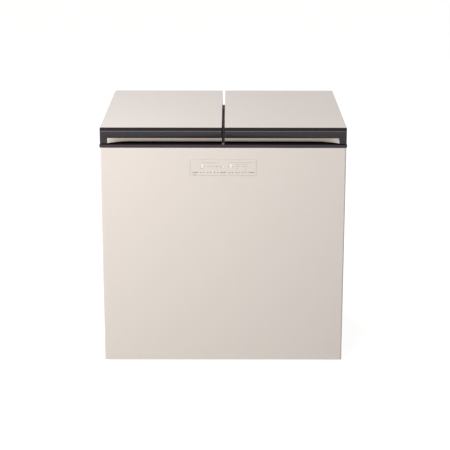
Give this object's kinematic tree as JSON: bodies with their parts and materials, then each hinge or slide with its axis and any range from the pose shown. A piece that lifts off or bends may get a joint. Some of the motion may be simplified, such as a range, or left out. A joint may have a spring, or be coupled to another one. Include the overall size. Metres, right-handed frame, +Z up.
{
  "type": "kimchi refrigerator",
  "caption": "Chest-type kimchi refrigerator with side-by-side hinged lids, insulated tubs, touch control window and a rear machine compartment.",
  "frame": {"origin": "on the floor under the middle of the cabinet", "axes": "+X to the right seen from the front, +Y to the back, +Z up"},
  "size_m": [0.93, 0.791, 0.936],
  "materials": {
    "pearl_panel": "smooth satin pearl beige paint",
    "lid_top": "smooth satin pearl beige sheet",
    "window_smoked": "pearl beige window, lit from behind",
    "grip_pearl": "satin beige moulding",
    "charcoal_plastic": "fine-grained charcoal moulding",
    "liner_white": "smooth off-white sheet plastic",
    "gasket_grey": "soft dark seal",
    "foam": "poured foam",
    "tub_aluminium": "pressed aluminium",
    "copper_pipe": "drawn copper",
    "galvanised": "galvanised sheet",
    "bright_steel": "bright steel",
    "fin_aluminium": "thin mill-finish fins",
    "black_plastic": "black moulding",
    "black_rubber": "black rubber",
    "compressor_black": "black enamel",
    "circuit_board": "coated circuit board",
    "white_plastic": "white moulding",
    "container_clear": "frosted container plastic"
  },
  "bodies": {
    "cabinet": {"front_panel": "pearl_panel", "left_side_panel": "pearl_panel", "right_side_panel": "pearl_panel", "back_panel": "galvanised", "rear_cover": "galvanised", "rear_cover_screws": "bright_steel", "cord_gland": "black_rubber", "base_pan": "galvanised", "machine_wall": "galvanised", "cabinet_foam": "foam", "top_frame": "charcoal_plastic", "left_tub": "tub_aluminium", "right_tub": "tub_aluminium", "left_evaporator_coil": "copper_pipe", "right_evaporator_coil": "copper_pipe", "control_window": "window_smoked", "display_board": "circuit_board", "display_case": "black_plastic", "compressor": "compressor_black", "compressor_mounts": "black_rubber", "compressor_relay_cover": "black_plastic", "condenser_tube": "copper_pipe", "condenser_fins": "fin_aluminium", "fan_shroud": "black_plastic", "fan_motor": "bright_steel", "filter_dryer": "copper_pipe", "refrigerant_pipes": "copper_pipe", "board_box": "white_plastic", "main_board": "circuit_board", "board_box_cover": "white_plastic", "foot_sockets": "galvanised", "roller_brackets": "galvanised", "roller_axles": "bright_steel", "hinge_brackets": "galvanised", "hinge_pins": "bright_steel", "hinge_springs": "bright_steel"},
    "fan": {"fan_rotor": "black_plastic"},
    "left_lid": {"left_lid_panel": "lid_top", "left_lid_frame": "charcoal_plastic", "left_lid_grip": "grip_pearl", "left_lid_liner": "liner_white", "left_lid_foam": "foam", "left_lid_gasket": "gasket_grey", "left_hinge_leaves": "galvanised"},
    "left_front_foot": {"left_foot": "black_plastic"},
    "left_rear_roller": {"left_roller": "black_plastic"},
    "left_storage": {"left_container": "container_clear", "left_container_lid": "white_plastic"},
    "right_lid": {"right_lid_panel": "lid_top", "right_lid_frame": "charcoal_plastic", "right_lid_grip": "grip_pearl", "right_lid_liner": "liner_white", "right_lid_foam": "foam", "right_lid_gasket": "gasket_grey", "right_hinge_leaves": "galvanised"},
    "right_front_foot": {"right_foot": "black_plastic"},
    "right_rear_roller": {"right_roller": "black_plastic"},
    "right_storage": {"right_container": "container_clear", "right_container_lid": "white_plastic"}
  },
  "joints": [
    {"name": "left_lid_hinge", "type": "hinge", "parent": "cabinet", "child": "left_lid", "pos_m": [-0.23387, 0.3775, 0.887], "axis": [-1, 0, 0], "range_deg": [0, 75]},
    {"name": "left_foot_screw", "type": "slide", "parent": "cabinet", "child": "left_front_foot", "axis": [0, 0, -1], "range_m": [0, 0.012]},
    {"name": "left_roller_spin", "type": "hinge", "parent": "cabinet", "child": "left_rear_roller", "pos_m": [-0.4, 0.3405, 0.014], "axis": [1, 0, 0], "continuous": true},
    {"name": "left_container_lift", "type": "slide", "parent": "cabinet", "child": "left_storage", "axis": [0, 0, 1], "range_m": [0, 0.5]},
    {"name": "right_lid_hinge", "type": "hinge", "parent": "cabinet", "child": "right_lid", "pos_m": [0.23387, 0.3775, 0.887], "axis": [-1, 0, 0], "range_deg": [0, 75]},
    {"name": "right_foot_screw", "type": "slide", "parent": "cabinet", "child": "right_front_foot", "axis": [0, 0, -1], "range_m": [0, 0.012]},
    {"name": "right_roller_spin", "type": "hinge", "parent": "cabinet", "child": "right_rear_roller", "pos_m": [0.4, 0.3405, 0.014], "axis": [1, 0, 0], "continuous": true},
    {"name": "right_container_lift", "type": "slide", "parent": "cabinet", "child": "right_storage", "axis": [0, 0, 1], "range_m": [0, 0.5]},
    {"name": "fan_spin", "type": "hinge", "parent": "cabinet", "child": "fan", "pos_m": [-0.07, 0.259, 0.137], "axis": [1, 0, 0], "continuous": true}
  ]
}
